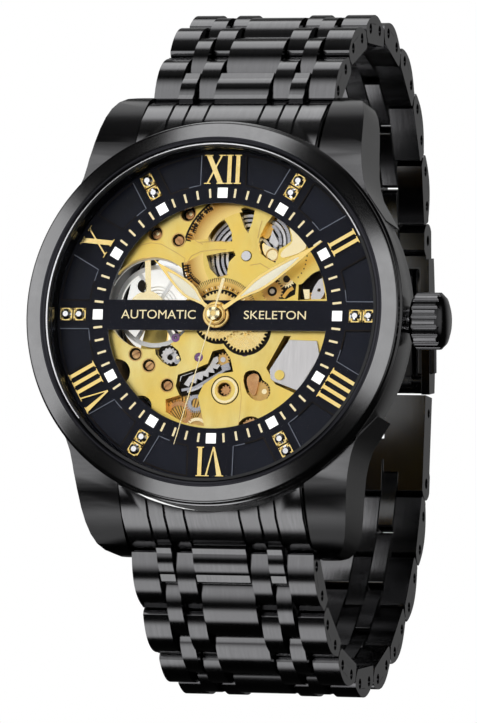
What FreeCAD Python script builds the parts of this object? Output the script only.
import FreeCAD, Part
import Sketcher
import math
import os

# Skeleton automatic wristwatch on a seven-row link bracelet, closed as it sits on a wrist.
# Millimetres.  Every piece is drawn in the dial's own frame and then stood up:
#   dial frame:  x towards 3 o'clock, y towards 12 o'clock, z out through the crystal,
#                z = 0 on the case back
#   stood up:    +X towards 3 o'clock, +Z towards 12 o'clock, -Y out through the crystal
Vector = FreeCAD.Vector
Rotation = FreeCAD.Rotation
Placement = FreeCAD.Placement
ORIGIN = Vector(0, 0, 0)
X_AXIS = Vector(1, 0, 0)
Z_AXIS = Vector(0, 0, 1)
STAND = Placement(ORIGIN, Rotation(X_AXIS, 90))
ALONG_X = Rotation(Vector(0, 1, 0), 90)     # lays the z axis along +x

doc = FreeCAD.newDocument("skeleton_wristwatch")

# ---------------------------------------------------------------- driving dimensions
DIMENSIONS = {
    # case
    "case_radius": 21.6,
    "case_bottom_z": 1.7,
    "case_top_z": 10.3,
    "case_bore": 17.3,
    "seat_radius": 19.6,
    "seat_z": 8.88,
    "bezel_outer": 21.45,
    "bezel_inner": 19.05,
    "bezel_top_z": 12.5,
    "crystal_radius": 18.72,
    "crystal_bottom_z": 11.36,
    "crystal_thick": 1.05,
    "lug_gap_half": 10.78,
    "lug_tip_y": 26.2,
    "spring_bar_y": 23.6,
    "spring_bar_z": 0.9,
    "back_radius": 18.7,
    "back_thick": 1.65,
    "back_window": 13.0,
    "holder_outer": 17.2,
    "holder_inner": 13.25,
    # dial
    "dial_z": 9.3,
    "dial_thick": 0.4,
    "dial_outer": 18.6,
    "dial_opening": 12.75,
    "bar_half": 1.7,
    # crown and stem
    "stem_z": 6.0,
    "stem_radius": 0.6,
    "crown_radius": 3.2,
    "crown_in_x": 21.95,
    "crown_out_x": 25.9,
    "tube_outer": 1.4,
    "tube_inner": 0.68,
    # movement
    "plate_radius": 13.1,
    "plate_z": 7.0,
    "plate_thick": 1.2,
    "bridge_z": 3.0,
    "bridge_thick": 0.6,
    "barrel_x": 2.8,
    "barrel_y": 6.9,
    "third_x": 3.11,
    "third_y": -3.97,
    "escape_x": -2.2,
    "escape_y": -4.6,
    "pallet_x": -5.0,
    "pallet_y": -2.4,
    "balance_x": -8.1,
    "balance_y": 1.5,
    "balance_radius": 4.7,
    "rotor_radius": 12.5,
    # bracelet: col_a, col_b and col_c are the half widths out to the edge of the middle,
    # third and slim rows
    "pitch": 8.46,
    "band_half": 10.6,
    "link_half_thick": 1.75,
    "link_round": 2.02,
    "link_crown": 15.0,
    "col_a": 3.2,
    "col_b": 5.5,
    "col_c": 7.4,
    "col_gap": 0.14,
    "pin_radius": 0.55,
    "pin_hole": 0.61,
    "first_hinge_y": 27.1,
    "first_hinge_z": 0.8,
    "cover_half": 10.9,
}
sheet = doc.addObject("Spreadsheet::Sheet", "Dims")
for row, (alias, value) in enumerate(DIMENSIONS.items(), 1):
    sheet.set("A%d" % row, alias)
    sheet.set("B%d" % row, repr(value))
    sheet.setAlias("B%d" % row, alias)
doc.recompute()


def size(alias):
    return float(sheet.get(alias))


def number(value):
    """Number behind a size, which is a number or an expression over the sheet's aliases."""
    if isinstance(value, str):
        for alias in sorted(DIMENSIONS, key=len, reverse=True):
            value = value.replace("Dims." + alias, "(%r)" % size(alias))
        return float(FreeCAD.Units.Quantity(value).Value)
    return float(value)


# ---------------------------------------------------------------- document objects
pieces = {}
serial = iter(range(1, 100000))


def unique(stem):
    return "%s_%03d" % (stem, next(serial))


def bind(obj, prop, value):
    """Set a property: text is an expression that drives it, anything else is its value."""
    if isinstance(value, str):
        obj.setExpression(prop, value)
    elif prop.startswith("Placement.Base."):
        base = obj.Placement.Base
        setattr(base, prop[-1], float(value))
        obj.Placement = Placement(base, obj.Placement.Rotation)
    else:
        setattr(obj, prop, value)


def place(obj, position, rotation=None):
    obj.Placement = Placement(ORIGIN, rotation or Rotation())
    for axis, value in zip("xyz", position):
        bind(obj, "Placement.Base." + axis, value)
    return obj


def cyl(radius, height, position=(0, 0, 0), rotation=None):
    obj = doc.addObject("Part::Cylinder", unique("cyl"))
    bind(obj, "Radius", radius)
    bind(obj, "Height", height)
    return place(obj, position, rotation)


def box(length, width, height, position=(0, 0, 0)):
    obj = doc.addObject("Part::Box", unique("box"))
    bind(obj, "Length", length)
    bind(obj, "Width", width)
    bind(obj, "Height", height)
    return place(obj, position)


def fuse(*objs):
    if len(objs) == 1:
        return objs[0]
    obj = doc.addObject("Part::MultiFuse", unique("fuse"))
    obj.Shapes = list(objs)
    return obj


def common(base, tool):
    obj = doc.addObject("Part::Common", unique("common"))
    obj.Base = base
    obj.Tool = tool
    return obj


def cut(base, *tools):
    obj = doc.addObject("Part::Cut", unique("cut"))
    obj.Base = base
    obj.Tool = fuse(*tools)
    return obj


# plane: (rotation of a free sketch, direction of extrusion, axis square to the plane)
PLANES = {
    "XY": (Rotation(), Vector(0, 0, 1), "z"),
    "XZ": (Rotation(X_AXIS, 90), Vector(0, -1, 0), "y"),
    "YZ": (Rotation(Vector(1, 1, 1), 120), Vector(1, 0, 0), "x"),
}


def outline(owner, plane, points):
    """Closed sketch, in a body or free.  Text in a corner (u, v) is an expression driving it."""
    if owner is not None:
        sketch = owner.newObject("Sketcher::SketchObject", unique("outline"))
        base = [f for f in owner.Origin.OriginFeatures if f.Role == plane + "_Plane"][0]
        sketch.AttachmentSupport = [(base, "")]
        sketch.MapMode = "FlatFace"
    else:
        sketch = doc.addObject("Sketcher::SketchObject", unique("outline"))
        sketch.Placement = Placement(ORIGIN, PLANES[plane][0])
    corners = [(number(u), number(v)) for u, v in points]
    count = len(corners)
    for i in range(count):
        start = Vector(*corners[i], 0)
        end = Vector(*corners[(i + 1) % count], 0)
        sketch.addGeometry(Part.LineSegment(start, end), False)

    constraints = [
        Sketcher.Constraint("Coincident", i, 2, (i + 1) % count, 1) for i in range(count)
    ]
    expressions = []
    for i in range(count):
        for axis, kind, zero_line in ((0, "DistanceX", -2), (1, "DistanceY", -1)):
            value = corners[i][axis]
            if abs(value) < 1e-9:
                constraints.append(Sketcher.Constraint("PointOnObject", i, 1, zero_line))
                continue
            if isinstance(points[i][axis], str):
                expressions.append((len(constraints), points[i][axis]))
            constraints.append(Sketcher.Constraint(kind, -1, 1, i, 1, value))
    sketch.addConstraint(constraints)
    for index, text in expressions:
        sketch.setExpression("Constraints[%d]" % index, text)
    return sketch


def prism(points, length, plane, start):
    """Outline on a plane at offset start, pushed square to it by length."""
    sketch = outline(None, plane, points)
    _, direction, axis = PLANES[plane]
    obj = doc.addObject("Part::Extrusion", unique("prism"))
    obj.Base = sketch
    obj.DirMode = "Custom"
    obj.Dir = direction
    bind(obj, "LengthFwd", length)
    obj.Solid = True
    bind(obj, "Placement.Base." + axis, start)
    return obj


def lathe(points):
    """Body turned about the dial axis from an (r, z) outline."""
    body = doc.addObject("PartDesign::Body", unique("turned"))
    sketch = outline(body, "XZ", points)
    turn = body.newObject("PartDesign::Revolution", unique("turn"))
    turn.Profile = sketch
    turn.ReferenceAxis = (sketch, ["V_Axis"])
    turn.Angle = 360
    body.Tip = turn
    return body


def padded(points, length, start):
    """Body padded from an (x, y) outline parallel to the dial, from height start."""
    body = doc.addObject("PartDesign::Body", unique("plate"))
    sketch = outline(body, "XY", points)
    pad = body.newObject("PartDesign::Pad", unique("pad"))
    pad.Profile = sketch
    bind(pad, "Length", length)
    body.Tip = pad
    bind(body, "Placement.Base.z", start)
    return body


def node(label, obj):
    """Label a parametric piece and stand it up."""
    obj.Label = label
    obj.Placement = STAND.multiply(obj.Placement)
    pieces[label] = obj


def feature(label, shape):
    """Piece from a plain shape; the shape may carry a placement of its own, applied first."""
    obj = doc.addObject("Part::Feature", unique("form"))
    obj.Shape = shape
    obj.Label = label
    obj.Placement = STAND.multiply(shape.Placement)
    pieces[label] = obj


# ---------------------------------------------------------------- plain shapes
def on_circle(radius, angle):
    return radius * math.cos(angle), radius * math.sin(angle)


def polygon_face(points):
    return Part.Face(Part.makePolygon([Vector(x, y, 0) for x, y in points + points[:1]]))


def rod(radius, z0, z1, bore=0):
    shape = Part.makeCylinder(radius, z1 - z0, Vector(0, 0, z0))
    if bore:
        shape = shape.cut(Part.makeCylinder(bore, z1 - z0, Vector(0, 0, z0)))
    return shape


def spoke(start, length, width, z, thick, degrees):
    """Bar on a line through the z axis, beginning at radius start."""
    shape = Part.makeBox(length, width, thick, Vector(start, -width / 2, 0))
    shape.rotate(ORIGIN, Z_AXIS, degrees)
    shape.translate(Vector(0, 0, z))
    return shape


def bar(x0, y0, x1, y1, width, z, thick):
    """Bar whose centre line runs from (x0, y0) to (x1, y1)."""
    degrees = math.degrees(math.atan2(y1 - y0, x1 - x0))
    shape = spoke(0, math.hypot(x1 - x0, y1 - y0), width, z, thick, degrees)
    shape.translate(Vector(x0, y0, 0))
    return shape


def moved(shape, centre):
    shape = shape.copy()
    shape.translate(Vector(*centre, 0))
    return shape


def joined(first, *others):
    return first.fuse(list(others)).removeSplitter()


def toothed(teeth, module, z, thick, phase, bore=0, pitch_radius=None,
            rim=None, hub=None, spoke_width=None):
    """Spur wheel on the z axis, from z to z + thick; rim opens it inside onto five spokes."""
    pitch_radius = pitch_radius or module * teeth / 2
    tip = pitch_radius + 0.85 * module
    root = pitch_radius - 1.15 * module
    step = 2 * math.pi / teeth
    # (radius, angle in tooth steps) of the corners of one tooth
    corners = ((root, -0.27), (tip, -0.09), (tip, 0.09), (root, 0.27))
    points = [on_circle(r, phase + (i + a) * step) for i in range(teeth) for r, a in corners]
    wheel = polygon_face(points).extrude(Vector(0, 0, thick))
    if rim:
        wheel = wheel.cut(Part.makeCylinder(rim, thick))
        inside = [Part.makeCylinder(hub, thick)]
        for k in range(5):
            inside.append(spoke(hub * 0.5, rim + 0.15 - hub * 0.5, spoke_width, 0, thick,
                                math.degrees(phase) + 72.0 * k))
        wheel = wheel.fuse(inside)
    if bore:
        wheel = wheel.cut(Part.makeCylinder(bore, thick))
    wheel = wheel.removeSplitter()
    wheel.translate(Vector(0, 0, z))
    return wheel


def spiral_strip(r0, r1, turns, width, z, thick):
    """Flat strip wound from radius r0 out to r1."""
    count = int(turns * 28)
    inner = []
    outer = []
    for i in range(count + 1):
        angle = 2 * math.pi * turns * i / count
        r = r0 + (r1 - r0) * i / count
        inner.append(Vector(*on_circle(r - width / 2, angle), z))
        outer.append(Vector(*on_circle(r + width / 2, angle), z))
    inner_curve = Part.BSplineCurve()
    outer_curve = Part.BSplineCurve()
    inner_curve.interpolate(inner)
    outer_curve.interpolate(outer)
    wire = Part.Wire([
        inner_curve.toShape(),
        Part.makeLine(inner[-1], outer[-1]),
        outer_curve.toShape(),
        Part.makeLine(outer[0], inner[0]),
    ])
    return Part.Face(wire).extrude(Vector(0, 0, thick))


# ================================================================ CASE
LUG_GAP = size("lug_gap_half")
LUG_TIP = size("lug_tip_y")
# (x, y) of a lug seen through the crystal, on the side of +x and +y
LUG_PLAN = [
    (LUG_GAP, 12.0), (18.7, 11.0), (17.5, 12.9), (16.7, 14.2), (16.25, 15.5), (15.95, 17.0),
    (15.72, 18.5), (15.52, 20.0), (15.33, 21.6), (15.08, 23.1), (14.76, 24.3), (14.3, 25.25),
    (13.65, 25.85), (12.8, 26.15), (12.0, LUG_TIP), (LUG_GAP, LUG_TIP),
]
# (y, z) of the same lug from the side
LUG_SIDE = [
    (10.9, 1.9), (17.0, 1.1), (22.0, -0.9), (24.6, -1.9), (25.4, -2.0), (26.0, -1.7),
    (LUG_TIP, -1.2), (LUG_TIP, 1.3), (25.9, 2.5), (25.3, 3.7), (24.3, 4.95), (23.1, 6.1),
    (21.6, 7.25), (19.8, 8.35), (17.8, 9.2), (14.5, 9.85), (10.9, 10.28),
]
# (x, z) of the lug end on, with its bevelled outer shoulder
LUG_SHOULDER = [
    (9.0, 14.0), (14.6, 12.0), (17.2, 9.7), (18.6, 8.0), (19.5, 6.0), (19.5, -4.0), (9.0, -4.0),
]


def lug(side_x, side_y):
    plan = prism([(side_x * x, side_y * y) for x, y in LUG_PLAN], 14.0, "XY", -3.0)
    side = prism([(side_y * y, z) for y, z in LUG_SIDE], 40.0, "YZ", -20.0)
    shoulder = prism([(side_x * x, z) for x, z in LUG_SHOULDER], 60.0, "XZ", 30.0)
    return common(common(plan, side), shoulder)


def mid_case():
    ring = lathe([
        ("Dims.case_bore", "Dims.case_bottom_z"),
        ("Dims.case_radius - 2.2", "Dims.case_bottom_z"),
        ("Dims.case_radius - 0.4", "Dims.case_bottom_z + 1.7"),
        ("Dims.case_radius", "Dims.case_bottom_z + 3.2"),
        ("Dims.case_radius", "Dims.case_top_z"),
        ("Dims.seat_radius", "Dims.case_top_z"),
        ("Dims.seat_radius", "Dims.seat_z"),
        ("Dims.case_bore", "Dims.seat_z"),
    ])
    lugs = fuse(lug(1, 1), lug(-1, 1), lug(1, -1), lug(-1, -1))
    lugs = cut(lugs, cyl("Dims.case_radius - 1.6", 20, (0, 0, -5)))
    stem_hole = cyl("Dims.tube_outer + 0.01", 8, (16, 0, "Dims.stem_z"), ALONG_X)
    bar_holes = fuse(*[
        cyl(0.6, 26, (-13, y, "Dims.spring_bar_z"), ALONG_X)
        for y in ("Dims.spring_bar_y", "-Dims.spring_bar_y")
    ])
    return cut(fuse(ring, lugs), stem_hole, bar_holes)


def bezel():
    return lathe([
        ("Dims.seat_radius - 0.1", "Dims.case_top_z + 0.01"),
        ("Dims.bezel_outer + 0.25", "Dims.case_top_z + 0.01"),
        ("Dims.bezel_outer + 0.3", "Dims.case_top_z + 0.7"),
        ("Dims.bezel_outer", "Dims.bezel_top_z - 0.55"),
        ("Dims.bezel_outer - 0.35", "Dims.bezel_top_z - 0.2"),
        ("Dims.bezel_inner + 0.3", "Dims.bezel_top_z"),
        ("Dims.bezel_inner", "Dims.bezel_top_z - 0.1"),
        ("Dims.bezel_inner", "Dims.crystal_bottom_z - 0.02"),
        ("Dims.seat_radius - 0.1", "Dims.crystal_bottom_z - 0.02"),
    ])


def front_crystal():
    return lathe([
        (0, "Dims.crystal_bottom_z"),
        ("Dims.crystal_radius", "Dims.crystal_bottom_z"),
        ("Dims.crystal_radius", "Dims.crystal_bottom_z + Dims.crystal_thick - 0.2"),
        ("Dims.crystal_radius - 0.2", "Dims.crystal_bottom_z + Dims.crystal_thick"),
        (0, "Dims.crystal_bottom_z + Dims.crystal_thick"),
    ])


def gaskets():
    """One ring round the front crystal, one between case and case back."""
    crystal_gasket = lathe([
        ("Dims.crystal_radius + 0.01", "Dims.crystal_bottom_z"),
        ("Dims.bezel_inner - 0.01", "Dims.crystal_bottom_z"),
        ("Dims.bezel_inner - 0.01", "Dims.crystal_bottom_z + 0.85"),
        ("Dims.crystal_radius + 0.01", "Dims.crystal_bottom_z + 0.85"),
    ])
    back_gasket = lathe([(17.45, 1.66), (18.15, 1.66), (18.15, 1.69), (17.45, 1.69)])
    compound = doc.addObject("Part::Compound", "gasket_set")
    compound.Links = [crystal_gasket, back_gasket]
    return compound


def rehaut_ring():
    return lathe([
        ("Dims.dial_outer + 0.03", "Dims.seat_z + 0.02"),
        ("Dims.seat_radius - 0.15", "Dims.seat_z + 0.02"),
        ("Dims.seat_radius - 0.15", "Dims.crystal_bottom_z - 0.04"),
        ("Dims.crystal_radius - 0.04", "Dims.crystal_bottom_z - 0.04"),
    ])


def case_back():
    """Ring round the back window, with six slots in its rim."""
    ring = lathe([
        ("Dims.back_window - 0.6", 0),
        ("Dims.back_radius - 0.5", 0),
        ("Dims.back_radius", 0.5),
        ("Dims.back_radius", "Dims.back_thick"),
        ("Dims.back_window + 0.1", "Dims.back_thick"),
        ("Dims.back_window + 0.1", 0.35),
        ("Dims.back_window - 0.6", 0.35),
    ])
    slot_width = 2.2
    slots = []
    for k in range(6):
        slot = box(1.6, slot_width, 0.55)
        turned = Placement(Vector(0, 0, -0.15), Rotation(Z_AXIS, 60 * k))
        slot.Placement = turned.multiply(Placement(Vector(17.3, -slot_width / 2, 0), Rotation()))
        slots.append(slot)
    return cut(ring, *slots)


def back_crystal():
    return lathe([
        (0, 0),
        ("Dims.back_window - 0.65", 0),
        ("Dims.back_window - 0.65", 0.36),
        ("Dims.back_window + 0.08", 0.36),
        ("Dims.back_window + 0.08", 1.26),
        (0, 1.26),
    ])


def movement_holder():
    ring = lathe([
        ("Dims.holder_inner", 2.0),
        ("Dims.holder_outer", 2.0),
        ("Dims.holder_outer", 8.6),
        ("Dims.holder_inner", 8.6),
    ])
    return cut(ring, cyl(0.8, 6, (12.5, 0, "Dims.stem_z"), ALONG_X))


def crown_tube():
    return cut(
        cyl("Dims.tube_outer", 5.6, (17.3, 0, "Dims.stem_z"), ALONG_X),
        cyl("Dims.tube_inner", 8, (16, 0, "Dims.stem_z"), ALONG_X),
    )


node("mid_case", mid_case())
node("bezel", bezel())
node("front_crystal", front_crystal())
node("gaskets", gaskets())
node("rehaut_ring", rehaut_ring())
node("case_back", case_back())
node("back_crystal", back_crystal())
node("movement_holder", movement_holder())
node("crown_tube", crown_tube())

# ================================================================ DIAL
MARK_Z = size("dial_z") + 0.005     # underside of the numerals and stones


def dial():
    """Ring with a bar across its opening from 9 to 3 o'clock and twelve shallow pockets."""
    ring = cut(
        cyl("Dims.dial_outer", "Dims.dial_thick", (0, 0, "Dims.dial_z - Dims.dial_thick")),
        cyl("Dims.dial_opening", 2, (0, 0, 8)),
    )
    cross_bar = box(26, "2 * Dims.bar_half", "Dims.dial_thick",
                    (-13, "-Dims.bar_half", "Dims.dial_z - Dims.dial_thick"))
    plate = fuse(ring, cross_bar)
    cutters = [cyl(1.45, 2, (0, 0, 8))]
    r_in, r_out = 14.9, 18.35
    half_in, half_out = math.radians(11.3), math.radians(11.6)
    for k in range(12):
        middle = math.radians(30 * k + 15)
        pocket = [
            on_circle(r_in, middle - half_in),
            on_circle(r_out, middle - half_out),
            on_circle(r_out * 1.006, middle),
            on_circle(r_out, middle + half_out),
            on_circle(r_in, middle + half_in),
            on_circle(r_in * 0.995, middle),
        ]
        cutters.append(prism(pocket, 1.0, "XY", "Dims.dial_z - 0.16"))
    return cut(plate, *cutters)


SERIF = 0.045
TOP = 1 - SERIF


def serif(left, right, foot):
    return [(left, foot), (right, foot), (right, foot + SERIF), (left, foot + SERIF)]


# letter: (width, strokes as polygons about x = 0), for letters of unit height
GLYPHS = {
    "I": (0.34, [
        [(-0.085, 0), (0.085, 0), (0.085, 1), (-0.085, 1)],
        serif(-0.15, 0.15, 0),
        serif(-0.15, 0.15, TOP),
    ]),
    "V": (0.78, [
        [(-0.36, 1), (-0.14, 1), (0.06, 0), (-0.02, 0)],
        [(0.26, 1), (0.34, 1), (0.06, 0), (0.0, 0)],
        serif(-0.42, -0.08, TOP),
        serif(0.16, 0.42, TOP),
    ]),
    "X": (0.84, [
        [(-0.38, 1), (-0.15, 1), (0.38, 0), (0.15, 0)],
        [(0.24, 1), (0.33, 1), (-0.24, 0), (-0.33, 0)],
        serif(-0.43, -0.08, TOP),
        serif(0.14, 0.42, TOP),
        serif(-0.42, -0.14, 0),
        serif(0.08, 0.43, 0),
    ]),
}


def numeral(text, hour):
    foot_radius, tall, thick, narrow = 14.85, 3.35, 0.22, 0.86
    x = -sum(GLYPHS[letter][0] * narrow for letter in text) / 2
    shape = None
    for letter in text:
        width, strokes = GLYPHS[letter]
        middle = x + width * narrow / 2
        glyph = None
        for points in strokes:
            scaled = [((u * narrow + middle) * tall, v * tall) for u, v in points]
            stroke = polygon_face(scaled).extrude(Vector(0, 0, thick))
            glyph = stroke if glyph is None else glyph.fuse(stroke)
        glyph = glyph.removeSplitter()
        shape = glyph if shape is None else shape.fuse(glyph)
        x += width * narrow
    shape = shape.removeSplitter()
    shape.translate(Vector(0, foot_radius, MARK_Z))
    shape.rotate(ORIGIN, Z_AXIS, -30 * hour)
    return shape


def hour_markers():
    hours = (("XII", 12), ("II", 2), ("IIII", 4), ("VI", 6), ("VIII", 8), ("X", 10))
    return Part.makeCompound([s for text, hour in hours for s in numeral(text, hour).Solids])


def square(half, z):
    corners = ((-half, -half), (half, -half), (half, half), (-half, half), (-half, -half))
    return Part.makePolygon([Vector(x, y, z) for x, y in corners])


def stone(radius, hour):
    """Step-cut stone: square girdle, bevelled crown, flat table."""
    width = 1.5
    sections = [square(width / 2, 0), square(width / 2, 0.25), square(width / 3.2, 0.55)]
    shape = Part.makeLoft(sections, True, True)
    shape.translate(Vector(0, radius, MARK_Z))
    shape.rotate(ORIGIN, Z_AXIS, -30 * hour)
    return shape


def dial_stones():
    return Part.makeCompound([
        stone(radius, hour) for hour in (1, 3, 5, 7, 9, 11) for radius in (15.95, 17.75)
    ])


node("dial", dial())
feature("hour_markers", hour_markers())
feature("dial_stones", dial_stones())

# ================================================================ MOVEMENT, FIXED
JEWELLED = ("third", "escape", "pallet")    # axes with a jewel in both plate and train bridge
SCREWS = [(-5.18, 8.67), (-9.57, -4.29), (-7.93, -5.57), (-5.7, -7.79), (11.2, 0.3), (6.6, 0.3)]
LEVER_STUD = (7.4, -6.6)                    # the setting lever turns on it
PLATE_TOP = size("plate_z") + size("plate_thick")

# (x, y) outlines of the openings through the mainplate
KIDNEY = [
    (3.15, -6.65), (3.35, -6.25), (3.72, -6.06), (4.3, -6.0), (4.79, -6.2), (5.1, -6.55),
    (5.35, -7.1), (5.95, -7.5), (6.25, -8.0), (6.3, -8.7), (5.95, -9.2), (5.25, -9.45),
    (4.6, -9.4), (4.1, -9.1), (3.6, -8.6), (3.3, -7.9), (3.12, -7.2),
]
PALLET_OVAL = [
    (-6.9, -3.2), (-5.6, -3.1), (-4.6, -3.9), (-4.2, -4.9), (-4.7, -5.6), (-5.4, -5.7),
    (-6.4, -5.2), (-7.2, -4.3), (-7.3, -3.7),
]
LOWER_OPENING = [
    (-4.5, -6.6), (-2.6, -5.95), (-1.1, -5.3), (-0.6, -3.9), (0.7, -3.6), (1.5, -4.7),
    (1.9, -6.2), (0.2, -6.45), (-1.5, -7.7), (-2.05, -9.0), (-1.2, -12.35), (-3.6, -12.0),
    (-5.7, -10.8), (-5.8, -9.4), (-4.2, -8.9), (-4.7, -7.9),
]
LEVER_GROOVE = [
    (7.6, -2.1), (5.7, -5.75), (6.8, -7.55), (9.2, -8.6), (9.45, -8.0), (7.25, -7.15),
    (6.5, -5.7), (8.4, -2.1),
]
# windows over the barrel, left between the curved arms of a star
STAR_WINDOWS = [
    [
        (-1.66, 8.45), (-1.78, 9.32), (-1.41, 10.21), (-0.74, 10.85), (0.01, 11.05),
        (0.47, 10.46), (0.94, 9.57), (1.07, 8.55),
    ],
    [
        (-1.85, 6.9), (-0.11, 7.28), (1.34, 7.43), (1.52, 6.96), (0.8, 6.21), (0.62, 4.73),
        (-0.43, 4.5), (-1.35, 5.4),
    ],
    [
        (1.62, 12.15), (2.38, 12.45), (3.52, 12.1), (3.31, 10.82), (2.88, 9.5), (2.45, 10.08),
        (2.05, 11.11),
    ],
    [
        (5.61, 11.45), (6.68, 11.2), (7.64, 10.09), (7.93, 8.61), (7.14, 8.02), (6.55, 7.72),
        (6.44, 6.68), (6.17, 6.15), (5.08, 6.67), (4.35, 7.26), (4.08, 8.15), (4.35, 9.34),
        (4.9, 10.53),
    ],
]
TWO_O_CLOCK_OPENING = [
    (9.0, 1.95), (9.0, 4.2), (9.9, 4.7), (10.6, 5.4), (11.5, 5.3), (12.2, 2.1),
]

# (x, y) outlines of the bridges
BARREL_BRIDGE = [
    (-5.0, 3.2), (-1.9, 2.6), (2.2, 2.9), (11.4, 2.6), (10.6, 7.2), (7.6, 10.4), (3.0, 12.6),
    (-2.0, 12.6), (-6.2, 10.9),
]
TRAIN_BRIDGE = [
    (-3.6, -10.4), (0.0, -12.3), (6.0, -11.2), (10.6, -6.6), (11.6, 1.9), (3.2, 2.3),
    (-1.6, 2.0), (-2.9, -1.0), (-6.4, -1.0), (-6.9, -4.0), (-3.7, -5.4),
]
BALANCE_COCK = [
    (-7.3, 2.5), (-8.9, 2.5), (-9.7, 0.4), (-10.4, -3.2), (-8.6, -9.2), (-5.8, -8.0),
    (-7.4, -3.2), (-7.2, 0.6),
]
COCK_FOOT = [(-9.9, -7.6), (-8.5, -9.2), (-5.9, -8.1), (-6.4, -6.6)]


def axis_hole(name, radius, z):
    """Cutter on a named axis of the movement, 3 mm long from height z."""
    return cyl(radius, 3, ("Dims.%s_x" % name, "Dims.%s_y" % name, z))


def plate_hole(radius, x, y):
    return cyl(radius, 3, (x, y, 6))


def plate_opening(points):
    return prism(points, 3, "XY", 6)


def mainplate():
    plate = cyl("Dims.plate_radius", "Dims.plate_thick", (0, 0, "Dims.plate_z"))
    holes = [axis_hole("balance", "Dims.balance_radius + 0.55", 6), plate_hole(1.0, 0, 0)]
    holes += [axis_hole(name, 0.51, 6) for name in JEWELLED]
    holes += [
        plate_hole(0.85, -4.2, 11.7),
        plate_hole(0.8, -7.95, 9.45),
        plate_hole(0.75, 0.95, -8.2),
        plate_opening(KIDNEY),
        plate_opening(PALLET_OVAL),
        plate_hole(1.6, 4.2, -12.8),
        plate_hole(1.5, -11.6, -6.4),
        plate_hole(1.2, -8.6, -10.2),
        plate_opening(LOWER_OPENING),
        plate_opening(LEVER_GROOVE),
    ]
    holes += [plate_opening(points) for points in STAR_WINDOWS]
    # the barrel arbor's end comes up through the middle of the star
    holes += [axis_hole("barrel", 0.62, 6), plate_opening(TWO_O_CLOCK_OPENING)]
    holes += [
        cyl(0.7, 1.0, (x, y, "Dims.plate_z + Dims.plate_thick - 0.6")) for x, y in SCREWS
    ]
    return fuse(
        cut(plate, *holes),
        cyl(0.36, 0.55, (*LEVER_STUD, "Dims.plate_z + Dims.plate_thick")),
        cyl(0.56, 0.14, (*LEVER_STUD, "Dims.plate_z + Dims.plate_thick + 0.45")),
    )


def pillar(x, y):
    """Post from a bridge up to the mainplate."""
    return cyl(0.6, "Dims.plate_z - Dims.bridge_z - 0.02", (x, y, "Dims.bridge_z"))


def barrel_bridge():
    bridge = padded(BARREL_BRIDGE, "Dims.bridge_thick", "Dims.bridge_z")
    return cut(fuse(bridge, pillar(-4.9, 10.0), pillar(10.2, 4.2)), axis_hole("barrel", 0.62, 2))


def train_bridge():
    bridge = padded(TRAIN_BRIDGE, "Dims.bridge_thick", "Dims.bridge_z")
    rotor_post = cyl(0.9, 1.15, (0, 0, 1.85))
    return cut(
        fuse(bridge, rotor_post, pillar(9.5, -6.4), pillar(0.6, -11.1)),
        *[axis_hole(name, 0.32, 2) for name in JEWELLED],
        cyl(0.32, 3, (0, 0, 1)),
    )


def balance_cock():
    arm = padded(BALANCE_COCK, "Dims.bridge_thick", "Dims.bridge_z")
    foot = padded(COCK_FOOT, "Dims.plate_z - Dims.bridge_z - 0.62", "Dims.bridge_z + 0.6")
    return cut(fuse(arm, foot), axis_hole("balance", 0.4, 2))


def bridge_screws():
    """Slotted heads sunk in the mainplate, each slot turned its own way."""
    heads = []
    for x, y in SCREWS:
        head = Part.makeCylinder(0.5, 0.32, Vector(0, 0, PLATE_TOP - 0.59))
        head = head.cut(Part.makeBox(1.4, 0.16, 0.2, Vector(-0.7, -0.08, PLATE_TOP - 0.41)))
        head.rotate(ORIGIN, Z_AXIS, 37 * (x + y))
        heads.append(moved(head, (x, y)))
    return Part.makeCompound(heads)


def centre_of(name):
    return size(name + "_x"), size(name + "_y")


def pivot_jewels():
    plate_z = size("plate_z") + 0.05
    bridge_z = size("bridge_z") + 0.02
    pivot = 0.13
    jewels = []
    for name in JEWELLED:
        jewels.append(moved(rod(0.5, plate_z, plate_z + 1.1, pivot), centre_of(name)))
        jewels.append(moved(rod(0.31, bridge_z, bridge_z + 0.5, pivot), centre_of(name)))
    jewels.append(moved(rod(0.39, bridge_z, bridge_z + 0.5, pivot), centre_of("balance")))
    return Part.makeCompound(jewels)


node("mainplate", mainplate())
node("barrel_bridge", barrel_bridge())
node("train_bridge", train_bridge())
node("balance_cock", balance_cock())
feature("bridge_screws", bridge_screws())
feature("pivot_jewels", pivot_jewels())

# ================================================================ MOVEMENT, GOING TRAIN
# Each wheel drives the pinion named after it; the centre wheel turns the third wheel and that
# the fourth 64/8 * 60/8 = 60 times an hour, which is the seconds hand.
BARREL_TEETH, CENTRE_LEAVES = 69, 26
CENTRE_TEETH, THIRD_LEAVES = 64, 8
THIRD_TEETH, FOURTH_LEAVES = 60, 8
FOURTH_TEETH, ESCAPE_LEAVES = 70, 7
CANNON_LEAVES, MINUTE_TEETH = 12, 36
MINUTE_LEAVES, HOUR_TEETH = 10, 40

BARREL = centre_of("barrel")
THIRD = centre_of("third")
ESCAPE = centre_of("escape")
PALLET = centre_of("pallet")
BALANCE = centre_of("balance")

# angle of each axis about the dial centre
to_barrel = math.atan2(BARREL[1], BARREL[0])
to_third = math.atan2(THIRD[1], THIRD[0])
to_escape = math.atan2(ESCAPE[1], ESCAPE[0])
to_minute = math.atan2(-1.4, 3.1)
minute_distance = 3.4
MINUTE = on_circle(minute_distance, to_minute)

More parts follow.
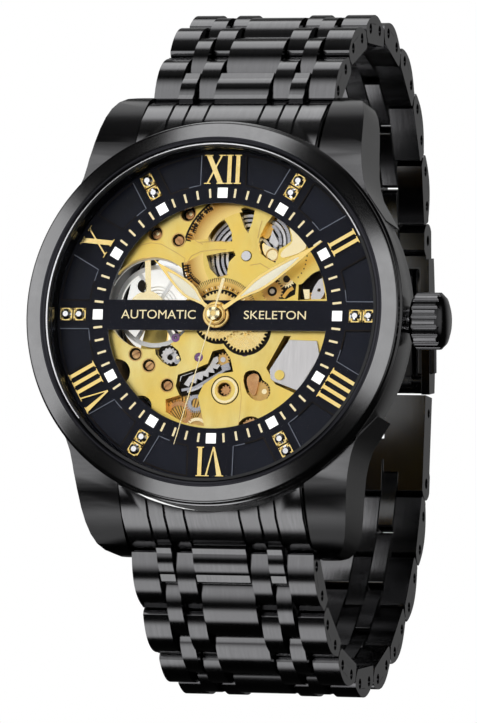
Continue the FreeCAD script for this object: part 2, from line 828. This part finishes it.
# module of each meshing pair: twice the centre distance over the sum of the teeth
barrel_module = 2 * math.hypot(*BARREL) / (BARREL_TEETH + CENTRE_LEAVES)
centre_module = 2 * math.hypot(*THIRD) / (CENTRE_TEETH + THIRD_LEAVES)
third_module = 2 * math.hypot(*THIRD) / (THIRD_TEETH + FOURTH_LEAVES)
fourth_module = 2 * math.hypot(*ESCAPE) / (FOURTH_TEETH + ESCAPE_LEAVES)
cannon_module = 2 * minute_distance / (CANNON_LEAVES + MINUTE_TEETH)
hour_module = 2 * minute_distance / (MINUTE_LEAVES + HOUR_TEETH)


def meshed(phase, teeth, angle, other_teeth):
    """Phase of a wheel lying at angle from the first, so that its teeth sit in the gaps."""
    offset = (angle - phase) / (2 * math.pi / teeth)
    return angle + math.pi - 2 * math.pi / other_teeth * (0.5 - offset)


third_wheel_phase = 0.0
minute_pinion_phase = 0.3
barrel_phase = meshed(to_barrel, CENTRE_LEAVES, to_barrel, BARREL_TEETH)
third_pinion_phase = meshed(to_third, CENTRE_TEETH, to_third, THIRD_LEAVES)
fourth_pinion_phase = meshed(third_wheel_phase, THIRD_TEETH, to_third + math.pi, FOURTH_LEAVES)
escape_pinion_phase = meshed(to_escape, FOURTH_TEETH, to_escape, ESCAPE_LEAVES)
minute_phase = meshed(to_minute, CANNON_LEAVES, to_minute, MINUTE_TEETH)
hour_phase = meshed(minute_pinion_phase, MINUTE_LEAVES, to_minute + math.pi, HOUR_TEETH)

BARREL_TEETH_Z = 4.62       # the barrel's teeth and the centre pinion
LEVER_Z = 4.6               # escape wheel and pallet fork
MOTION_Z = 8.32             # cannon pinion and minute wheel
PIVOT = rod(0.11, 3.05, 8.1)


def mainspring_barrel():
    """Toothed floor with six holes, drum wall, and a cover with three windows."""
    drum = 4.75
    floor = toothed(BARREL_TEETH, barrel_module, BARREL_TEETH_Z, 0.34, barrel_phase, bore=0.85)
    wall = rod(drum, 4.9, 5.98, drum - 0.35)
    windows = rod(4.38, 5.8, 6.0, 1.6).cut([
        spoke(0, 4.6, 1.5, 5.7, 0.4, degrees) for degrees in (57, 177, 297)
    ])
    barrel = joined(floor, wall, rod(drum, 5.84, 5.98, 0.9).cut(windows))
    for k in range(6):
        x, y = on_circle(2.85, math.radians(60 * k))
        barrel = barrel.cut(Part.makeCylinder(1.05, 1.0, Vector(x, y, 4.3)))
    return moved(barrel, BARREL)


def mainspring():
    return moved(spiral_strip(1.4, 4.2, turns=6.0, width=0.24, z=5.02, thick=0.8), BARREL)


def ratchet_wheel():
    """Wheel and the barrel arbor, which reaches from the bridge to the dial side."""
    return moved(
        joined(
            toothed(40, 0.165, 2.66, 0.28, 0.1, bore=0.5),
            rod(0.8, 5.05, 6.3),
            rod(0.56, 2.66, 5.3),
            rod(0.56, 6.25, 8.36),
        ),
        BARREL,
    )


def centre_wheel():
    """Hollow arbor with its pinion and wheel, and the cannon pinion beyond the mainplate."""
    wheel = joined(
        rod(0.72, BARREL_TEETH_Z, 10.35, 0.42),
        toothed(CENTRE_LEAVES, barrel_module, BARREL_TEETH_Z, 0.42, to_barrel, bore=0.5),
        toothed(CENTRE_TEETH, centre_module, 6.05, 0.2, to_third, bore=0.5,
                rim=3.7, hub=1.1, spoke_width=0.45),
    )
    return joined(wheel, toothed(CANNON_LEAVES, cannon_module, MOTION_Z, 0.2, to_minute, bore=0.5))


def third_wheel():
    return moved(
        joined(
            rod(0.2, 3.7, 6.95),
            PIVOT,
            toothed(THIRD_LEAVES, centre_module, 6.0, 0.3, third_pinion_phase),
            toothed(THIRD_TEETH, third_module, 4.12, 0.2, third_wheel_phase,
                    rim=3.7, hub=0.8, spoke_width=0.4),
        ),
        THIRD,
    )


def fourth_wheel():
    """Central wheel whose long arbor carries the seconds hand."""
    return joined(
        rod(0.3, 1.9, 10.95),
        toothed(FOURTH_TEETH, fourth_module, 3.72, 0.2, to_escape,
                rim=3.95, hub=0.9, spoke_width=0.4),
        toothed(FOURTH_LEAVES, third_module, 3.9, 0.55, fourth_pinion_phase),
    )


ESCAPE_RADIUS = 2.3


def escape_wheel():
    """Fifteen pointed teeth on a four-spoked rim, with pinion and arbor."""
    teeth, thick = 15, 0.2
    # (radius, angle in radians) of the corners of one tooth
    corners = ((1.75, -0.16), (ESCAPE_RADIUS, 0.02), (ESCAPE_RADIUS - 0.02, 0.06), (1.8, 0.05))
    points = []
    for i in range(teeth):
        middle = 2 * math.pi * i / teeth + 0.1
        points += [on_circle(r, middle + a) for r, a in corners]
    wheel = polygon_face(points).extrude(Vector(0, 0, thick)).cut(Part.makeCylinder(1.35, thick))
    wheel = wheel.fuse(
        [Part.makeCylinder(0.55, thick)]
        + [spoke(0.3, 1.3, 0.26, 0, thick, 90 * k + 20) for k in range(4)]
    )
    wheel.translate(Vector(0, 0, LEVER_Z))
    pinion = toothed(ESCAPE_LEAVES, fourth_module, 3.68, 0.34, escape_pinion_phase)
    return moved(joined(wheel, rod(0.18, 3.65, 6.95), PIVOT, pinion), ESCAPE)


def pallet_fork():
    """Two stones just off the escape wheel, a lever, and horns about the balance roller."""
    thick = 0.22
    wheel_x, wheel_y = ESCAPE[0] - PALLET[0], ESCAPE[1] - PALLET[1]
    roller_x, roller_y = BALANCE[0] - PALLET[0], BALANCE[1] - PALLET[1]
    parts = []
    for sign in (1, -1):
        angle = math.atan2(wheel_y, wheel_x) + sign * math.radians(58)
        x, y = on_circle(1.9, angle)
        parts.append(bar(0, 0, x, y, 0.5, LEVER_Z, thick))
        # the stone points at the wheel and stops 0.12 short of its tip circle
        distance = math.hypot(wheel_x - x, wheel_y - y)
        ux, uy = (wheel_x - x) / distance, (wheel_y - y) / distance
        reach = distance - (ESCAPE_RADIUS + 0.12)
        parts.append(bar(x - 0.15 * ux, y - 0.15 * uy, x + reach * ux, y + reach * uy,
                         0.3, LEVER_Z, thick))
    distance = math.hypot(roller_x, roller_y)
    ux, uy = roller_x / distance, roller_y / distance
    lever = distance - 0.95
    parts.append(bar(0, 0, lever * ux, lever * uy, 0.36, LEVER_Z, thick))
    for sign in (1, -1):
        x = lever * ux - sign * 0.3 * uy
        y = lever * uy + sign * 0.3 * ux
        parts.append(bar(x - 0.3 * ux + sign * 0.15 * uy, y - 0.3 * uy - sign * 0.15 * ux,
                         x + 0.25 * ux, y + 0.25 * uy, 0.18, LEVER_Z, thick))
    hub = rod(0.5, LEVER_Z, LEVER_Z + thick)
    return moved(joined(hub, PIVOT, rod(0.18, 3.7, 6.9), *parts), PALLET)


def balance_wheel():
    """Rim on three crossing arms with staff and roller, and the spiral spring as its own solid."""
    radius = size("balance_radius")
    arm = radius - 0.3
    wheel = joined(
        rod(radius, 5.3, 5.8, radius - 0.5),
        *[bar(-arm * x, -arm * y, arm * x, arm * y, 0.42, 5.4, 0.28)
          for x, y in ((1, 0), (0.5, 0.866), (0.5, -0.866))],
        rod(0.55, 5.0, 6.0),
        rod(0.2, 3.7, 6.6),
        rod(0.11, 3.05, 6.9),
    )
    spring = joined(
        spiral_strip(0.75, 2.6, turns=5.0, width=0.09, z=5.0, thick=0.22),
        bar(0.3, 0, 0.8, 0, 0.2, 5.0, 0.22),
        bar(2.5, 0, 2.85, 0, 0.3, 5.05, 0.4),
    ).cut(rod(0.57, 4.9, 6.1))
    return Part.makeCompound([moved(wheel, BALANCE), moved(spring, BALANCE)])


feature("mainspring_barrel", mainspring_barrel())
feature("mainspring", mainspring())
feature("ratchet_wheel", ratchet_wheel())
feature("centre_wheel", centre_wheel())
feature("third_wheel", third_wheel())
feature("fourth_wheel", fourth_wheel())
feature("escape_wheel", escape_wheel())
feature("pallet_fork", pallet_fork())
feature("balance_wheel", balance_wheel())


# ---------------------------------------------------------------- motion work and hands
def minute_wheel():
    return moved(
        joined(
            rod(0.3, 8.3, 8.84),
            toothed(MINUTE_TEETH, cannon_module, MOTION_Z, 0.2, minute_phase),
            toothed(MINUTE_LEAVES, hour_module, 8.5, 0.32, minute_pinion_phase),
        ),
        MINUTE,
    )


def hour_wheel():
    return joined(
        toothed(HOUR_TEETH, hour_module, 8.58, 0.2, hour_phase, bore=0.85),
        rod(1.2, 8.58, 9.85, 0.8),
    )


def hand(points, thick, hub, bore, z, degrees):
    """Outline pointing to 12, on a bored hub, turned clockwise by degrees."""
    shape = polygon_face(points).extrude(Vector(0, 0, thick))
    shape = shape.fuse(Part.makeCylinder(hub, thick)).cut(Part.makeCylinder(bore, thick))
    shape = shape.removeSplitter()
    shape.rotate(ORIGIN, Z_AXIS, -degrees)
    shape.translate(Vector(0, 0, z))
    return shape


def leaf_hand(length, half_width, hub, bore, z, degrees):
    """Leaf-shaped hand with a needle tip."""
    right = [
        (0.1, length * 0.88), (half_width * 0.62, length * 0.72), (half_width, length * 0.42),
        (0.2, length * 0.22), (0.26, hub * 0.9), (0.26, 0),
    ]
    left = [(-x, y) for x, y in reversed(right)]
    return hand(left + [(0, length)] + right, 0.16, hub, bore, z, degrees)


SECONDS_HAND = [
    (-0.07, 0), (-0.05, 15.3), (0.05, 15.3), (0.07, 0),
    (0.2, -3.4), (0.16, -4.1), (-0.16, -4.1), (-0.2, -3.4),
]

feature("minute_wheel", minute_wheel())
feature("hour_wheel", hour_wheel())
feature("hour_hand", leaf_hand(9.7, 0.72, hub=1.75, bore=1.21, z=9.6, degrees=-50.4))
feature("minute_hand", leaf_hand(14.6, 0.66, hub=1.3, bore=0.73, z=10.1, degrees=55.6))
feature("seconds_hand", hand(SECONDS_HAND, 0.12, hub=0.8, bore=0.31, z=10.75, degrees=194.5))


# ---------------------------------------------------------------- rotor
def half_ring(outer, inner, z, thick):
    shape = Part.makeCylinder(outer, thick, Vector(0, 0, z), Z_AXIS, 180)
    return shape.cut(Part.makeCylinder(inner, thick, Vector(0, 0, z)))


def rotor():
    """Half ring and heavier rim on three arms, lying on the 6 o'clock side."""
    radius = size("rotor_radius")
    shape = joined(
        half_ring(radius, 8.8, 2.2, 0.3),
        half_ring(radius, 9.9, 1.9, 0.62),
        Part.makeCylinder(2.4, 0.62, Vector(0, 0, 1.9)),
        *[spoke(0, 9.6, 1.7, 2.2, 0.3, degrees) for degrees in (25, 90, 155)],
    ).cut(Part.makeCylinder(0.95, 2, Vector(0, 0, 1)))
    shape.rotate(ORIGIN, Z_AXIS, 180)
    return shape.removeSplitter()


feature("rotor", rotor())

# ---------------------------------------------------------------- crown, stem, setting parts
# the crown and the stem are built along z and then laid along +x
STEM_PLACEMENT = Placement(Vector(0, 0, size("stem_z")), ALONG_X)


def crown():
    cap = lathe([
        (1.5, "Dims.crown_in_x"),
        ("Dims.crown_radius - 0.5", "Dims.crown_in_x"),
        ("Dims.crown_radius", "Dims.crown_in_x + 0.45"),
        ("Dims.crown_radius", "Dims.crown_out_x - 0.95"),
        ("Dims.crown_radius - 0.55", "Dims.crown_out_x - 0.4"),
        ("Dims.crown_radius - 1.4", "Dims.crown_out_x - 0.1"),
        (0, "Dims.crown_out_x"),
        (0, "Dims.crown_in_x + 1.3"),
        (1.5, "Dims.crown_in_x + 1.3"),
    ])
    flutes = []
    for k in range(18):
        x, y = ["(Dims.crown_radius + 0.14) * %.6f" % c for c in on_circle(1, math.radians(20 * k))]
        flutes.append(cyl(0.36, 4.2, (x, y, "Dims.crown_in_x - 0.6")))
    stem_socket = cyl("Dims.stem_radius", 2.3, (0, 0, "Dims.crown_in_x"))
    shape = cut(cap, *flutes, stem_socket)
    shape.Placement = STEM_PLACEMENT
    return shape


def winding_stem():
    """Round stem with a square inner end."""
    square_side = 0.7
    stem = fuse(
        cyl("Dims.stem_radius", 12.2, (0, 0, 12.0)),
        box(square_side, square_side, 3.6, (-square_side / 2, -square_side / 2, 8.5)),
    )
    stem.Placement = STEM_PLACEMENT
    return stem


def sliding_pinion():
    """Pinion with a square bore, on the square end of the stem."""
    length, bore = 1.3, 0.76
    pinion = toothed(14, 0.12, 0, length, 0.2, pitch_radius=0.78)
    pinion = pinion.cut(Part.makeBox(bore, bore, length, Vector(-bore / 2, -bore / 2, 0)))
    pinion.rotate(ORIGIN, Vector(0, 1, 0), 90)
    pinion.translate(Vector(9.9, 0, size("stem_z")))
    return pinion


SETTING_LEVER = [
    (8.3, -2.6), (7.6, -3.7), (6.2, -6.0), (6.35, -7.0), (6.8, -7.35), (9.6, -8.35),
    (11.9, -4.4), (11.5, -2.7),
]

node("crown", crown())
node("winding_stem", winding_stem())
feature("sliding_pinion", sliding_pinion())
node("setting_lever", cut(padded(SETTING_LEVER, 0.3, 8.3), cyl(0.42, 1.0, (*LEVER_STUD, 8.0))))

# ================================================================ BRACELET
# Link frame: x along the band away from the case, y outward from the wrist, z across the band,
# with the link's first hinge on the z axis.
PITCH = size("pitch")
HALF_THICK = size("link_half_thick")
ROUND = size("link_round")
GAP = size("col_gap")
PIN_HOLE = size("pin_hole")
MIDDLE_EDGE = size("col_a")
THIRD_EDGE = size("col_b")
SLIM_EDGE = size("col_c")
BAND_EDGE = size("band_half")
BAR_Y = size("spring_bar_y")
BAR_Z = size("spring_bar_z")


def link_master(label, width, leading):
    """One row's piece: leading ones reach 3/4 pitch, trailing ones run from 1/4 to 5/4 pitch."""
    if leading:
        slab_x = 0
        nose_x = 0
        nose_box_x = "-1.5 * Dims.link_round"
        crown_x = "0.26 * Dims.pitch"
        holes_x = (0, "0.5 * Dims.pitch")
    else:
        slab_x = "0.25 * Dims.pitch + 0.06"
        nose_x = "Dims.pitch"
        nose_box_x = "Dims.pitch - 0.5 * Dims.link_round"
        crown_x = "0.74 * Dims.pitch"
        holes_x = ("0.5 * Dims.pitch", "Dims.pitch")
    thick = "2 * Dims.link_half_thick"
    slab = box("0.75 * Dims.pitch - 0.06", thick, width, (slab_x, "-Dims.link_half_thick", 0))
    nose_box = box("2 * Dims.link_round", thick, width, (nose_box_x, "-Dims.link_half_thick", 0))
    nose = common(cyl("Dims.link_round", width, (nose_x, 0, 0)), nose_box)
    crown_position = (crown_x, "Dims.link_half_thick - Dims.link_crown", 0)
    crowned = common(fuse(slab, nose), cyl("Dims.link_crown", width, crown_position))
    piece = cut(crowned, *[cyl("Dims.pin_hole", 30, (x, 0, -1)) for x in holes_x])
    piece.Label = label
    return piece


outer_master = link_master(
    "piece_outer_row", "Dims.band_half - Dims.col_c - Dims.col_gap", leading=True)
third_master = link_master(
    "piece_third_row", "Dims.col_b - Dims.col_a - Dims.col_gap", leading=True)
middle_master = link_master(
    "piece_middle_row", "2 * Dims.col_a - Dims.col_gap", leading=False)
slim_master = link_master(
    "piece_slim_row", "Dims.col_c - Dims.col_b - Dims.col_gap", leading=False)
pin_master = cyl("Dims.pin_radius", "2 * Dims.band_half - 0.5")
doc.recompute()
OUTER_PIECE = outer_master.Shape.copy()
THIRD_PIECE = third_master.Shape.copy()
MIDDLE_PIECE = middle_master.Shape.copy()
SLIM_PIECE = slim_master.Shape.copy()
PIN = pin_master.Shape.copy()


def frame_at(y, z, heading, side):
    """Link frame to dial frame.  side is +1 at 12 o'clock and -1 at 6; y counts away from the
    dial axis on that side; heading is in degrees, 0 straight back (-z), 90 away in +y."""
    angle = math.radians(heading)
    along = Vector(0, side * math.sin(angle), -math.cos(angle))
    outward = Vector(0, side * math.cos(angle), math.sin(angle))
    across = along.cross(outward)
    return FreeCAD.Matrix(
        along.x, outward.x, across.x, 0,
        along.y, outward.y, across.y, side * y,
        along.z, outward.z, across.z, z,
        0, 0, 0, 1,
    )


def placed(shape, frame, across=0, along=0):
    """Copy of a shape, shifted in the link frame and carried to the dial frame."""
    shape = shape.copy()
    shape.translate(Vector(along, 0, across))
    shape.transformShape(frame, True)
    return shape


def placed_pin(frame, along=0):
    return placed(PIN, frame, 0.25 - BAND_EDGE, along)


def link(frame):
    """Seven row pieces and the two pins of one link."""
    solids = [
        placed(OUTER_PIECE, frame, SLIM_EDGE + GAP),
        placed(OUTER_PIECE, frame, -BAND_EDGE),
        placed(THIRD_PIECE, frame, MIDDLE_EDGE + GAP / 2),
        placed(THIRD_PIECE, frame, -THIRD_EDGE + GAP / 2),
        placed(MIDDLE_PIECE, frame, -MIDDLE_EDGE + GAP / 2),
        placed(SLIM_PIECE, frame, THIRD_EDGE + GAP / 2),
        placed(SLIM_PIECE, frame, -SLIM_EDGE + GAP / 2),
    ]
    solids += [placed_pin(frame, along) for along in (PITCH / 2, PITCH)]
    return Part.makeCompound(solids)


# headings in degrees of the links, from the case outwards
UPPER_HEADINGS = [45.6, 26.6, 7.5, -11.5, -31.3, -51.2, -69.5]
LOWER_HEADINGS = [44.4, 26.7, 9.1, -9.4, -27.6, -44.5, -60.4, -75.9, -91.9]


def walk(headings):
    """(y, z, heading) at each link's hinge, then (y, z, None) at the far end of the last."""
    y, z = size("first_hinge_y"), size("first_hinge_z")
    hinges = []
    for heading in headings:
        hinges.append((y, z, heading))
        y += PITCH * math.sin(math.radians(heading))
        z -= PITCH * math.cos(math.radians(heading))
    hinges.append((y, z, None))
    return hinges


upper_hinges = walk(UPPER_HEADINGS)
lower_hinges = walk(LOWER_HEADINGS)
for i, hinge in enumerate(upper_hinges[:-1]):
    feature("link_upper_%d" % (i + 1), link(frame_at(*hinge, 1)))
# the last lower link is the clasp's fork, built below
for i, hinge in enumerate(lower_hinges[:-2]):
    feature("link_lower_%d" % (i + 1), link(frame_at(*hinge, -1)))

# (y, z) sections of the end link: the raised rows, and the core seen in the gaps between them
END_ROW = [
    (16.5, 9.7), (19.5, 9.3), (22.5, 7.4), (24.6, 4.9), (25.55, 2.6), (25.5, 1.0), (24.6, -0.5),
    (22.0, 0.0), (16.5, 2.2),
]
END_CORE = [
    (16.5, 9.35), (19.4, 8.95), (22.25, 7.1), (24.3, 4.7), (25.2, 2.5), (25.15, 1.1),
    (24.5, -0.4), (22.0, 0.1), (16.5, 2.3),
]
ROW_EDGES = [
    -BAND_EDGE, -SLIM_EDGE, -THIRD_EDGE, -MIDDLE_EDGE,
    MIDDLE_EDGE, THIRD_EDGE, SLIM_EDGE, BAND_EDGE,
]


def side_slab(points, side, x0, x1):
    """Section in (y, z), mirrored in y by side, from x0 to x1."""
    corners = [Vector(x0, side * y, z) for y, z in points + points[:1]]
    return Part.Face(Part.makePolygon(corners)).extrude(Vector(x1 - x0, 0, 0))


def end_link(side):
    """Curved fill between the lugs, seven rows, with tongues that carry the first hinge."""
    hinge = upper_hinges[0] if side > 0 else lower_hinges[0]
    frame = frame_at(*hinge, side)
    body = side_slab(END_CORE, side, -BAND_EDGE, BAND_EDGE)
    body = body.fuse([
        side_slab(END_ROW, side, x0 + 0.13, x1 - 0.13)
        for x0, x1 in zip(ROW_EDGES, ROW_EDGES[1:])
    ])
    # tongues in the slim and middle rows reach the first hinge
    reach = PITCH * 0.25 + 1.2
    for z0, z1 in (
        (-SLIM_EDGE, -THIRD_EDGE), (-MIDDLE_EDGE, MIDDLE_EDGE), (THIRD_EDGE, SLIM_EDGE)
    ):
        width = z1 - z0 - GAP
        tip_box = Part.makeBox(2 * ROUND, 2 * HALF_THICK - 0.3, width,
                               Vector(-0.4, -HALF_THICK + 0.15, 0))
        tongue = Part.makeBox(reach, 2 * HALF_THICK - 0.5, width, Vector(-reach, -HALF_THICK, 0))
        tongue = tongue.fuse(Part.makeCylinder(ROUND, width).common(tip_box))
        body = body.fuse(placed(tongue, frame, z0 + GAP / 2))
    # room for the round ends of the first link's leading rows
    for z0, z1 in (
        (-BAND_EDGE - 1, -SLIM_EDGE), (-THIRD_EDGE, -MIDDLE_EDGE),
        (MIDDLE_EDGE, THIRD_EDGE), (SLIM_EDGE, BAND_EDGE + 1),
    ):
        body = body.cut(placed(Part.makeCylinder(ROUND + 0.12, z1 - z0), frame, z0))
    body = body.cut(Part.makeCylinder(size("bezel_outer") + 0.42, 30, Vector(0, 0, -8)))
    body = body.cut(placed(Part.makeCylinder(PIN_HOLE, 30), frame, -15))
    body = body.cut(Part.makeCylinder(0.72, 30, Vector(-15, side * BAR_Y, BAR_Z), X_AXIS))
    return [body.removeSplitter(), placed_pin(frame)]


def spring_bar(side):
    """Thick bar with a thinner one through it that stands out at both ends."""
    thick, thin = [
        Part.makeCylinder(radius, 2 * half, Vector(-half, side * BAR_Y, BAR_Z), X_AXIS)
        for radius, half in ((0.66, 10.5), (0.4, 12.3))
    ]
    return thick.fuse(thin).removeSplitter()


feature("end_links", Part.makeCompound(end_link(1) + end_link(-1)))
feature("spring_bars", Part.makeCompound([spring_bar(1), spring_bar(-1)]))

# ================================================================ CLASP
# The cover hangs on the last upper link and points at the open pivot on the last lower link.
# It is drawn in a link frame of its own: x along, y outward, z across.
cover_y, cover_z, _ = upper_hinges[-1]
pivot_y, pivot_z, _ = lower_hinges[-1]
run_y = -pivot_y - cover_y
run_z = pivot_z - cover_z
CLASP_LENGTH = math.hypot(run_y, run_z)
CLASP_FRAME = frame_at(cover_y, cover_z, math.degrees(math.atan2(run_y, -run_z)), 1)
COVER_START = 0.25 * PITCH + 0.06
COVER_END = CLASP_LENGTH - 2.35
COVER_HALF = size("cover_half")

# hinges as (x, y)
COVER_HINGE = (COVER_END - 1.6, -0.05)      # cover to inner blade
BLADE_HINGE = (4.3, -0.75)                  # inner blade to outer blade
END_HINGE = (CLASP_LENGTH, -0.55)           # outer blade's end bar
BLADE_PIN_HOLE = 0.5


def clasp_box(x0, x1, y0, y1, z0, z1):
    return Part.makeBox(x1 - x0, y1 - y0, z1 - z0, Vector(x0, y0, z0))


def clasp_rod(hinge, radius, z0, z1):
    return Part.makeCylinder(radius, z1 - z0, Vector(*hinge, z0))


def clasp_piece(*solids):
    return placed(Part.makeCompound(list(solids)), CLASP_FRAME)


def clasp_cover():
    """Arched plate with side walls, and knuckles that take the last upper link's pin."""
    top = clasp_box(COVER_START, COVER_END, 0.95, 2.05, -COVER_HALF, COVER_HALF)
    arch_centre = ((COVER_START + COVER_END) / 2, 2.05 - 60)
    top = top.common(clasp_rod(arch_centre, 60, -COVER_HALF, COVER_HALF))
    shell = top.fuse([
        clasp_box(COVER_START, COVER_END, -1.1, 1.2, z0, z0 + 1.0)
        for z0 in (COVER_HALF - 1.0, -COVER_HALF)
    ])
    for edge0, edge1 in (
        (-BAND_EDGE, -SLIM_EDGE), (-THIRD_EDGE, -MIDDLE_EDGE),
        (MIDDLE_EDGE, THIRD_EDGE), (SLIM_EDGE, BAND_EDGE),
    ):
        z0, z1 = edge0 + GAP / 2, edge1 - GAP / 2
        knuckle = clasp_rod((0, 0), ROUND, z0, z1)
        knuckle = knuckle.common(clasp_box(-ROUND, ROUND, -HALF_THICK, HALF_THICK, z0, z1))
        knuckle = knuckle.fuse(clasp_box(0, COVER_START + 0.9, -0.9, HALF_THICK, z0, z1))
        shell = shell.fuse(knuckle)
    shell = shell.cut(clasp_rod((0, 0), PIN_HOLE, -15, 15))
    shell = shell.cut([clasp_rod(COVER_HINGE, 0.52, -COVER_HALF + 0.3, COVER_HALF - 0.3)])
    # windows for the push buttons
    shell = shell.cut([
        clasp_box(11.0, 16.0, -0.62, 0.5, COVER_HALF - 1.3, COVER_HALF + 0.5),
        clasp_box(11.0, 16.0, -0.62, 0.5, -COVER_HALF - 0.5, -COVER_HALF + 1.3),
    ])
    pin = clasp_rod(COVER_HINGE, 0.48, -COVER_HALF + 0.35, COVER_HALF - 0.35)
    return clasp_piece(shell.removeSplitter(), pin)


def clasp_blade_inner():
    """Open frame hinged at the far end of the cover, folded back along its inside."""
    near, far = BLADE_HINGE[0], COVER_HINGE[0]
    half = 8.6
    blade = clasp_box(near, far, -0.62, 0.12, -half, half)
    blade = blade.cut(clasp_box(near + 2.6, far - 2.6, -1, 1, -6.2, 6.2))
    blade = blade.cut(clasp_rod(BLADE_HINGE, 1.1, -5.1, 5.1))
    blade = blade.fuse([
        clasp_rod(COVER_HINGE, 0.85, -half, half),
        clasp_rod(BLADE_HINGE, 0.85, -half, -5.2),
        clasp_rod(BLADE_HINGE, 0.85, 5.2, half),
    ])
    blade = blade.cut([
        clasp_rod(COVER_HINGE, 0.54, -15, 15),
        clasp_rod(BLADE_HINGE, BLADE_PIN_HOLE, -15, 15),
        clasp_box(far - 0.2, far + 2, -2, -0.95, -15, 15),
    ])
    return clasp_piece(blade.removeSplitter(), clasp_rod(BLADE_HINGE, 0.46, -8.5, 8.5))


def clasp_blade_outer():
    """Open frame hinged on the inner blade, running out to the end bar."""
    near, end = BLADE_HINGE[0], END_HINGE[0]
    blade = clasp_box(near, end - 0.6, -1.78, -1.08, -4.9, 4.9)
    blade = blade.cut(clasp_box(near + 3.2, end - 4.0, -3, 0, -2.6, 2.6))
    blade = blade.fuse([
        clasp_rod(BLADE_HINGE, 0.85, -5.0, 5.0),
        clasp_rod(END_HINGE, 1.2, -5.1, 5.1),
        clasp_box(end - 1.2, end, -1.75, -0.6, -4.9, 4.9),
    ])
    blade = blade.cut([
        clasp_rod(BLADE_HINGE, BLADE_PIN_HOLE, -15, 15),
        clasp_rod(END_HINGE, 0.62, -15, 15),
    ])
    return clasp_piece(blade.removeSplitter(), clasp_rod(END_HINGE, 0.56, -5.0, 5.0))


def clasp_button(z0):
    return placed(clasp_box(11.08, 15.92, -0.54, 0.42, z0, z0 + 2.1), CLASP_FRAME)


feature("clasp_cover", clasp_cover())
feature("clasp_blade_inner", clasp_blade_inner())
feature("clasp_blade_outer", clasp_blade_outer())
feature("clasp_button_right", clasp_button(COVER_HALF - 1.55))
feature("clasp_button_left", clasp_button(-COVER_HALF - 0.55))


def round_ended(z0, z1, length, height):
    """Bar between two row edges, rounded about the hinge."""
    width = z1 - z0 - GAP
    end_box = Part.makeBox(2 * ROUND, 2 * HALF_THICK, z1 - z0, Vector(-ROUND, -HALF_THICK, 0))
    shape = Part.makeCylinder(ROUND, width).common(end_box)
    shape = shape.fuse([Part.makeBox(length, height, width, Vector(0, -HALF_THICK, 0))])
    shape.translate(Vector(0, 0, z0 + GAP / 2))
    return shape


def fork_link():
    """Last lower link: two prongs to the open pivot, joined by a web near the middle."""
    prongs = [
        round_ended(z0, z1, PITCH + 2.05, 2 * HALF_THICK - 0.3)
        for z0, z1 in ((THIRD_EDGE, BAND_EDGE), (-BAND_EDGE, -THIRD_EDGE))
    ]
    web = Part.makeBox(0.3 * PITCH, 2 * HALF_THICK - 0.5, 2 * THIRD_EDGE + 1.0,
                       Vector(0.32 * PITCH, -HALF_THICK, -THIRD_EDGE - 0.5))
    fork = prongs[0].fuse([prongs[1], web])
    # room for the round ends of the previous link's trailing rows
    for z0, z1 in (
        (-MIDDLE_EDGE, MIDDLE_EDGE), (-SLIM_EDGE, -THIRD_EDGE), (THIRD_EDGE, SLIM_EDGE)
    ):
        fork = fork.cut(Part.makeCylinder(ROUND + 0.12, z1 - z0, Vector(0, 0, z0)))
    for z0, z1 in ((MIDDLE_EDGE, THIRD_EDGE), (-THIRD_EDGE, -MIDDLE_EDGE)):
        fork = fork.fuse(round_ended(z0, z1, 0.45 * PITCH, 2 * HALF_THICK - 0.4))
    fork = fork.cut([
        Part.makeCylinder(PIN_HOLE, 30, Vector(0, 0, -15)),
        Part.makeCylinder(0.5, 30, Vector(PITCH, 0, -15)),
    ])
    return placed(fork, frame_at(*lower_hinges[-2], -1)).removeSplitter()


feature("link_lower_9", fork_link())

# ---------------------------------------------------------------- check and write
doc.recompute()
bad = []
for obj in doc.Objects:
    if any(state in ("Invalid", "Error") for state in obj.State):
        bad.append("%s (%s) %s" % (obj.Name, obj.Label, obj.State))
for label, obj in pieces.items():
    shape = obj.Shape
    if shape.isNull() or not shape.isValid() or not shape.Solids:
        bad.append("%s: null, invalid or without a solid" % label)
if bad:
    raise RuntimeError("; ".join(bad))
os.makedirs("parts", exist_ok=True)
for label, obj in pieces.items():
    obj.Shape.exportStep("parts/%s.step" % label)
